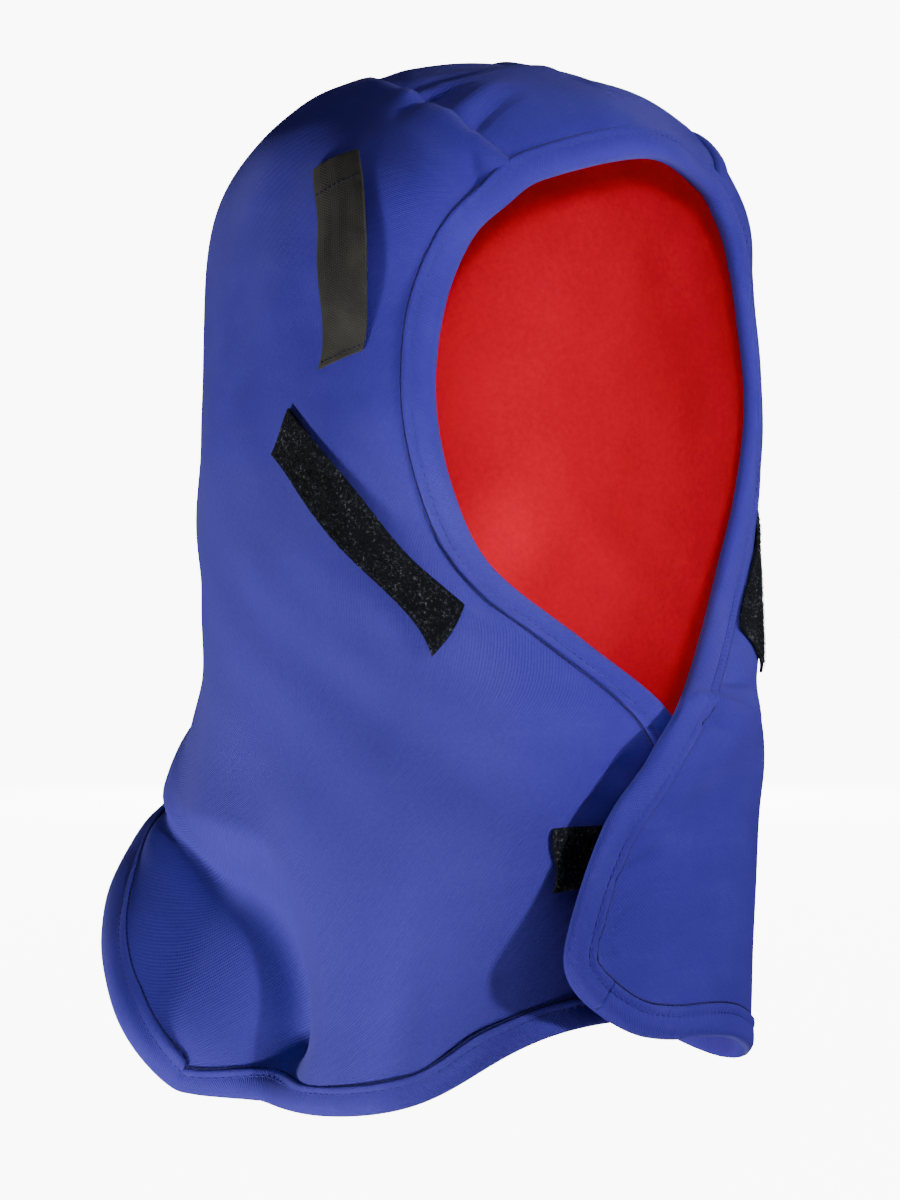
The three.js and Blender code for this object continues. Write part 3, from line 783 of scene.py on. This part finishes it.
def overEdge(side, at, along, inside, height):
    # a point at a distance in from the edge, measured on the cloth, and a height over it
    point, inward, out, atStep, alongStep = edgeFrame(side, at, along)
    if inside <= 0:
        return point + inward * inside + out * np.asarray(height)[..., None]
    laidAt, laidAlong = at + atStep * inside, along + alongStep * inside
    follow = binding["follow"] * clothRelief(side, laidAt, laidAlong)
    return offCloth(side, laidAt, laidAlong, height + follow)


def bindingRings(side, name):
    at, along, run = evenPath(side, *edgePath(name), binding["ringStep"])
    size, short, long = binding["sway"]
    sway = size * np.sin(run / short) * np.sin(run / long + side)
    pucker = binding["pucker"] * np.sin(2 * math.pi * run / binding["stitchPitch"])
    rings = []
    for inside, height in binding["section"]:
        pull = math.exp(-((inside - binding["stitchIn"]) / binding["pullWidth"])**2) if height > 0 else 0
        wave = pucker * pull
        if height > binding["swayAbove"]:
            wave = wave + sway
        rings.append(overEdge(side, at, along, inside, height + wave))
    return np.stack(rings, 1)


def makeBinding(name):
    rightRings, leftRings = bindingRings(right, name), bindingRings(left, name)
    if name == "face":
        middle = (rightRings[-1] + leftRings[-1]) / 2
        rings = np.concatenate([rightRings[:-1], [middle], leftRings[-2::-1]])
    else:
        middle = (rightRings[0] + leftRings[0]) / 2
        rings = np.concatenate([rightRings[:0:-1], [middle], leftRings[1:]])
    rings = np.concatenate([rings, rings[:, :1]], axis=1)
    count, corners = rings.shape[:2]
    length, width = count * binding["ringStep"] * mm, binding["tapeWidth"]

    def place(u, v):
        return rings[np.rint(u * (count - 1)).astype(int), np.rint(v * (corners - 1)).astype(int)]

    bm = laidGrid(count - 1, corners - 1, place, lambda u, v: (u * length, v * width))
    bmesh.ops.remove_doubles(bm, verts=bm.verts[:], dist=1e-7)
    bmesh.ops.holes_fill(bm, edges=[e for e in bm.edges if e.is_boundary], sides=0)
    bmesh.ops.recalc_face_normals(bm, faces=bm.faces[:])
    tape = name + "_tape"
    piece = newPiece(tape, meshFrom(tape, bm), finishes["binding"], "blue_binding", [name + "_binding"])


makeBinding("face")
makeBinding("hem")
print("binding made")

# Tapes, straps and patches: strips laid on the cloth
strips = {
    # at and along of one edge, at and along of the other, for the top, the middle and the bottom
    "tape": [[0.620, 0.248, 0.580, 0.306], [0.533, 0.122, 0.498, 0.194], [0.456, 0.097, 0.401, 0.214]],
    "strap": [[0.824, 0.225, 0.791, 0.280], [0.740, 0.122, 0.715, 0.190], [0.665, 0.109, 0.648, 0.189]],
    "loopPatch": [[0.187, 0.140, 0.187, 0.203], [0.161, 0.146, 0.161, 0.209], [0.135, 0.153, 0.135, 0.216]],
    "hookPatch": [[0.187, 0.045, 0.187, 0.105], [0.161, 0.045, 0.161, 0.105], [0.135, 0.045, 0.135, 0.105]],
    "leftTapeShift": (-0.026, -0.030, -0.026, -0.030), "leftStrapShift": (0.0, 0.07, 0.0, 0.07),
    "fit": 0.5, "waist": 0.09, "wavy": 0.012, "wavyTurns": 17, "tapeThickness": 1.3, "webThickness": 1.4,
    "strapSewn": 0.14, "strapEnd": 0.98, "strapBow": {right: 4.5, left: 4}, "strapFlutter": (0.25, 9, 2),
    # height of the wave, then turns and start of it down the tape and across it
    "tapeLift": 0.25, "tapeWave": (0.25, 11, 1.5, 4, 0.5), "rim": 0.35, "rimSteps": 2, "rimAngle": 50,
}
# steps across and down, width and length, thickness, finish, slot
stripKinds = {
    "tape": ((14, 60), (25, 105), strips["tapeThickness"], "loop", "black_tape"),
    "strap": ((16, 90), (20, 88), strips["webThickness"], "web", "grey_webbing"),
    "patch": ((16, 16), (24, 25), strips["tapeThickness"], "loop", "black_tape"),
}


def stripNet(stations, s, c):
    # the net place at a share of the strip's length and of its width
    corners = np.reshape(stations, (3, 2, 2))
    weights = (1 - s) * (1 - 2 * s), 4 * s * (1 - s), s * (2 * s - 1)
    edges = [sum(w[..., None] * corners[k, end] for k, w in enumerate(weights)) for end in (0, 1)]
    wide = 1 + strips["waist"] * np.sin(2 * math.pi * s) + strips["wavy"] * np.sin(strips["wavyTurns"] * s)
    place = mix(*edges, (0.5 + (c - 0.5) * wide)[..., None])
    return place[..., 0], place[..., 1]


def makeStrip(name, node, side, stations, height, kind):
    steps, size, thickness, finish, slot = stripKinds[kind]
    wide, tall = (length * mm for length in size)

    def place(u, v):
        at, along = stripNet(stations, v, u)
        return shellPoint(side, at, along, height(v, u))

    bm = laidGrid(*steps, place, lambda u, v: (u * wide, v * tall))
    faceOutward(bm)
    piece = newPiece(name, meshFrom(name, bm), finishes[finish], slot, [node])
    thicken(piece, thickness, offset=1)
    rim = piece.modifiers.new("rim", "BEVEL")
    rim.width, rim.segments = strips["rim"] * mm, strips["rimSteps"]
    rim.limit_method, rim.angle_limit = "ANGLE", math.radians(strips["rimAngle"])


def strapHeight(side):
    def height(s, c):
        size, down, across = strips["strapFlutter"]
        free = np.clip((s - strips["strapSewn"]) / (strips["strapEnd"] - strips["strapSewn"]), 0, 1)
        bow = strips["strapBow"][side] * np.sin(math.pi * free)**2
        return strips["fit"] + bow + size * np.sin(down * s + across * c)

    return height


def tapeHeight(s, c):
    size, down, downStart, across, acrossStart = strips["tapeWave"]
    wave = size * np.sin(down * s + downStart) * np.sin(across * c + acrossStart)
    return strips["fit"] + strips["tapeLift"] + wave


def insideHeight(s, c):
    depth = hood["shell"] + hood["layerGap"] + hood["lining"]
    return np.full_like(s, -(depth + strips["fit"] + strips["tapeThickness"]))


tapeStations = {right: strips["tape"], left: np.add(strips["tape"], strips["leftTapeShift"])}
strapStations = {right: strips["strap"], left: np.add(strips["strap"], strips["leftStrapShift"])}
for side, word in sides.items():
    makeStrip("cheek_loop_" + word, "cheek_tape_" + word, side, tapeStations[side], tapeHeight, "tape")
    strap = "strap_" + word
    makeStrip(strap, "suspension_" + strap, side, strapStations[side], strapHeight(side), "strap")
makeStrip("flap_loop", "closure_loop_patch", right, strips["loopPatch"], tapeHeight, "patch")
makeStrip("flap_hook", "closure_hook_patch", left, strips["hookPatch"], insideHeight, "patch")
print("tapes and straps made")


# Many small things share one template, copied along arrays of places
def copies(name, template, frames, material, slot):
    # frames hold an origin and three scaled axes for each copy
    verts = np.array([v.co for v in template.verts])
    template.verts.index_update()
    faces = [[v.index for v in f.verts] for f in template.faces]
    template.free()
    points = np.einsum("nij,vi->nvj", frames[:, 1:], verts) + frames[:, :1]
    allFaces = [[i + n * len(verts) for i in face] for n in range(len(frames)) for face in faces]
    mesh = bpy.data.meshes.new(name)
    mesh.from_pydata((points.reshape(-1, 3) * mm).tolist(), [], allFaces)
    newPiece(name, mesh, material, slot)


def stitchTemplate():
    bm = bmesh.new()
    bmesh.ops.create_uvsphere(bm, u_segments=6, v_segments=4, radius=1)
    return bm


def stitchFrames(points, normals, pitch, length, radius):
    # one long bead for each stitch of a seam that runs through the points
    run = runAlong(points)
    middles = np.arange(pitch / 2, run[-1], pitch)

    def along(values, at):
        return np.stack([np.interp(at, run, values[:, k]) for k in range(3)], -1)

    start, stop = along(points, middles - length / 2), along(points, middles + length / 2)
    ahead = unit(stop - start)
    over = along(normals, middles)
    over = unit(over - ahead * np.sum(over * ahead, -1, keepdims=True))
    across = np.cross(over, ahead)
    return np.stack([(start + stop) / 2, across * radius, over * radius, ahead * length / 2], 1)


def edgeStitches(side, name, inside, height, *stitch):
    at, along, _ = evenPath(side, *edgePath(name), binding["ringStep"])
    points = overEdge(side, at, along, inside, height)
    return stitchFrames(points, edgeFrame(side, at, along)[2], *stitch)


edges = [(side, name) for side in sides for name in ("face", "hem")]
# the second row is painted shade: dark beads along the tape's sewn side stand in for the shade there
for name, seam, finish in (("stitches", "topStitch", "blueThread"), ("seam", "paintedSeamShade", "seamShade")):
    beads = np.concatenate([edgeStitches(*edge, *binding[seam]) for edge in edges])
    copies("binding_" + name, stitchTemplate(), beads, finishes[finish], "blue_binding")

sewing = {
    # shares of a strip's length and width that a line of stitches runs through
    "tapeRound": [(0.03, 0.09), (0.97, 0.09), (0.97, 0.91), (0.03, 0.91), (0.03, 0.09)],
    "patchRound": [(0.09, 0.09), (0.91, 0.09), (0.91, 0.91), (0.09, 0.91), (0.09, 0.09)],
    "strapTop": [(0.13, 0.03), (0.13, 0.97)],
    "strapEnd": [(0.97, 0.05), (0.97, 0.95)],
    # pitch, length and radius of the stitches
    "tapeStitch": (2.6, 1.8, 0.26), "strapTopStitch": (2.2, 1.7, 0.36), "strapEndStitch": (2.2, 1.7, 0.3),
    "steps": 120, "overTape": 0.1, "overStrap": 0.12,
}


def stripStitches(side, stations, line, height, stitch):
    shares = np.array(sewing[line])
    steps = np.linspace(0, 1, sewing["steps"])
    corners = np.linspace(0, 1, len(shares))
    s, c = (np.interp(steps, corners, shares[:, k]) for k in (0, 1))
    at, along = stripNet(stations, s, c)
    points = shellPoint(side, at, along, height(s, c))
    return stitchFrames(points, clothFrame(side, at, along)[2], *sewing[stitch])


def overTape(s, c):
    return tapeHeight(s, c) + strips["tapeThickness"] + sewing["overTape"]


def overStrap(side):
    return lambda s, c: strapHeight(side)(s, c) + strips["webThickness"] + sewing["overStrap"]


sewn = [stripStitches(side, tapeStations[side], "tapeRound", overTape, "tapeStitch") for side in sides]
sewn.append(stripStitches(right, strips["loopPatch"], "patchRound", overTape, "tapeStitch"))
for side in sides:
    for line in ("strapTop", "strapEnd"):
        sewn.append(stripStitches(side, strapStations[side], line, overStrap(side), line + "Stitch"))
copies("tape_stitches", stitchTemplate(), np.concatenate(sewn), finishes["darkThread"], "black_tape")
print("stitches made")

# Loop pile: a thicket of tiny arches on the tapes and the patch
pile = {
    "perTape": 2600, "perPatch": 900, "tall": 0.75, "wide": 0.5, "wire": 0.07, "wireSides": 3, "bends": 4,
    "down": (0.015, 0.985), "across": (0.03, 0.97), "sizes": (0.6, 1.25), "lean": 0.45, "sink": 0.15,
}


def archTemplate():
    bm = bmesh.new()
    ring = bmesh.ops.create_circle(bm, segments=pile["wireSides"], radius=pile["wire"] / pile["wide"])
    bmesh.ops.translate(bm, verts=ring["verts"], vec=(1, 0, 0))
    bmesh.ops.spin(bm, geom=bm.edges[:], cent=(0, 0, 0), axis=(0, -1, 0), angle=math.pi, steps=pile["bends"])
    return bm


def pileFrames(side, stations, count):
    s = chance.uniform(*pile["down"], count)
    c = chance.uniform(*pile["across"], count)
    at, along = stripNet(stations, s, c)
    base = shellPoint(side, at, along, overTape(s, c) - pile["sink"])
    out = unit(clothFrame(side, at, along)[2] + chance.normal(0, pile["lean"], (count, 3)))
    across = unit(np.cross(out, chance.normal(0, 1, (count, 3))))
    size = chance.uniform(*pile["sizes"], (count, 1))
    wide, tall = size * pile["wide"], size * pile["tall"]
    return np.stack([base, across * wide, np.cross(out, across) * wide, out * tall], 1)


tufts = [pileFrames(side, tapeStations[side], pile["perTape"]) for side in sides]
tufts.append(pileFrames(right, strips["loopPatch"], pile["perPatch"]))
copies("loop_pile", archTemplate(), np.concatenate(tufts), finishes["loopTip"], "black_tape")
print("pile made")

# Stage: a pale floor that bends up all round, the lamps, and the camera at the photograph's angle
stage = {
    "floor": -0.43, "reach": 2.8, "bend": 1.2, "wall": 2.0, "turns": 64, "steps": 40,
    "grey": 0.8, "paler": 1.02, "paperScale": 3, "glow": 9.5, "worldLight": 0.035,
}


def makeSweep():
    bm = bmesh.new()
    bmesh.ops.create_grid(bm, x_segments=stage["turns"], y_segments=stage["steps"], size=0.5)
    quarter = stage["bend"] * math.pi / 2
    length = stage["reach"] + quarter + stage["wall"]
    for vert in bm.verts:
        around, run = vert.co.x * 2 * math.pi, (vert.co.y + 0.5) * length
        bent = max(0.0, run - stage["reach"])
        rise = min(bent / stage["bend"], math.pi / 2)
        out = min(run, stage["reach"]) + stage["bend"] * math.sin(rise)
        height = stage["floor"] + stage["bend"] * (1 - math.cos(rise)) + max(0.0, bent - quarter)
        vert.co = (out * math.cos(around), out * math.sin(around), height)
    bmesh.ops.remove_doubles(bm, verts=bm.verts[:], dist=0.0001)
    wire, whole, _, finish = newMaterial("paleSweep", Roughness=0.9, Specular_IOR_Level=0.0,
                                         Emission_Color=(1, 1, 1, 1), Emission_Strength=stage["glow"])
    paper = wire.noise(whole, stage["paperScale"], 2)
    tones = [(tone, tone, tone, 1) for tone in (stage["grey"], stage["grey"] * stage["paler"])]
    sweep = smoothObject("sweep", meshFrom("sweep", bm), finish(paper.tint(*tones)))
    # it looks white without lighting the object or standing in the lamps' way
    sweep.visible_diffuse = sweep.visible_glossy = sweep.visible_shadow = False


camera = {
    "azimuth": -38, "elevation": 1, "distance": 1.5, "lens": 112.5,
    "aim": (0, 0.00936, -0.20817), "aside": -0.0112,
}


def viewBack(azimuth, elevation):
    a, e = math.radians(azimuth), math.radians(elevation)
    return Vector((math.sin(a) * math.cos(e), -math.cos(a) * math.cos(e), math.sin(e)))


def aimed(name, data, aim, back, distance):
    # a camera or lamp that stands back from a place and looks at it
    made = newObject(name, data)
    made.location = aim + back * distance
    made.rotation_euler = (-back).to_track_quat("-Z", "Y").to_euler()
    return made


def makeCamera():
    a = math.radians(camera["azimuth"])
    across = Vector((math.cos(a), math.sin(a), 0))
    aim = Vector(camera["aim"]) + across * camera["aside"]
    back = viewBack(camera["azimuth"], camera["elevation"])
    data = bpy.data.cameras.new("camera")
    data.lens = camera["lens"]
    bpy.context.scene.camera = aimed("camera", data, aim, back, camera["distance"])


# Spots near the camera: one lights the lining through the face opening, one the turned-out wing
# azimuth, elevation, distance, aim, cone, narrowing, power, size, blend
snoots = {
    "liningSnoot": (-38, 1, 1.9, (0.045, -0.02, -0.135), 8.6, 0.62, 108, 0.06, 0.22),
    "wingSnoot": (-8, -4, 1.9, (-0.120, 0.066, -0.345), 4.4, 0.50, 210, 0.06, 0.9),
}
neckCard = {"radius": 0.094, "middle": (0, 0.005, -0.285)}
# places on the cloth that a flag keeps the left lamp off, each with the flag's distance from it
flag = [
    ((-0.084, -0.055, -0.415), 0.15), ((-0.076, -0.067, -0.345), 0.16), ((-0.052, -0.084, -0.318), 0.22),
    ((-0.008, -0.099, -0.266), 0.34), ((0.004, -0.101, -0.290), 0.34), ((-0.020, -0.095, -0.415), 0.24),
]
# azimuth from the camera's own, elevation, distance, size, power, colour
lamps = {
    "leftKey": (-62, -42, 1.8, 0.3, 37, (1, 0.99, 0.97)),
    "rightKey": (56, 6, 1.8, 0.12, 26, (1, 0.99, 0.98)),
    "frontFill": (-10, -25, 2.4, 0.8, 0.8, (1, 1, 1)),
    "topFill": (-10, 60, 2.2, 1.2, 5, (0.97, 0.98, 1)),
    "backFill": (180, 8, 2.2, 1.0, 22, (1, 1, 1)),
}


def makeCard(name, bm):
    # a card that no camera sees, and that only casts shade
    card = newObject(name, meshFrom(name, bm))
    card.visible_camera = card.visible_diffuse = card.visible_glossy = False


def makeCards():
    # one across the neck keeps the low left lamp out of the lining
    bm = bmesh.new()
    bmesh.ops.create_circle(bm, cap_ends=True, segments=24, radius=neckCard["radius"])
    bmesh.ops.translate(bm, verts=bm.verts[:], vec=neckCard["middle"])
    makeCard("neckCard", bm)
    azimuth, elevation, distance = lamps["leftKey"][:3]
    lampAt = Vector(camera["aim"]) + viewBack(camera["azimuth"] + azimuth, elevation) * distance
    bm = bmesh.new()
    corners = [Vector(place) + (lampAt - Vector(place)).normalized() * away for place, away in flag]
    bm.faces.new([bm.verts.new(corner) for corner in corners])
    makeCard("flag", bm)


def makeLamps():
    middle = Vector(camera["aim"])
    for name, (azimuth, elevation, distance, size, power, colour) in lamps.items():
        data = bpy.data.lights.new(name, "AREA")
        data.shape, data.size, data.energy, data.color = "DISK", size, power, colour
        aimed(name, data, middle, viewBack(camera["azimuth"] + azimuth, elevation), distance)
    for name, (azimuth, elevation, distance, aim, cone, narrowing, power, size, blend) in snoots.items():
        data = bpy.data.lights.new(name, "SPOT")
        data.energy, data.shadow_soft_size = power, size
        data.spot_size, data.spot_blend = math.radians(cone), blend
        lamp = aimed(name, data, Vector(aim), viewBack(azimuth, elevation), distance)
        lamp.scale = (narrowing, 1, 1)
    world = bpy.data.worlds.new("studio")
    world.use_nodes = True
    glow = world.node_tree.nodes["Background"].inputs
    glow["Color"].default_value = (1, 1, 1, 1)
    glow["Strength"].default_value = stage["worldLight"]
    bpy.context.scene.world = world


makeCamera()
makeSweep()
makeLamps()
makeCards()
print("stage set")
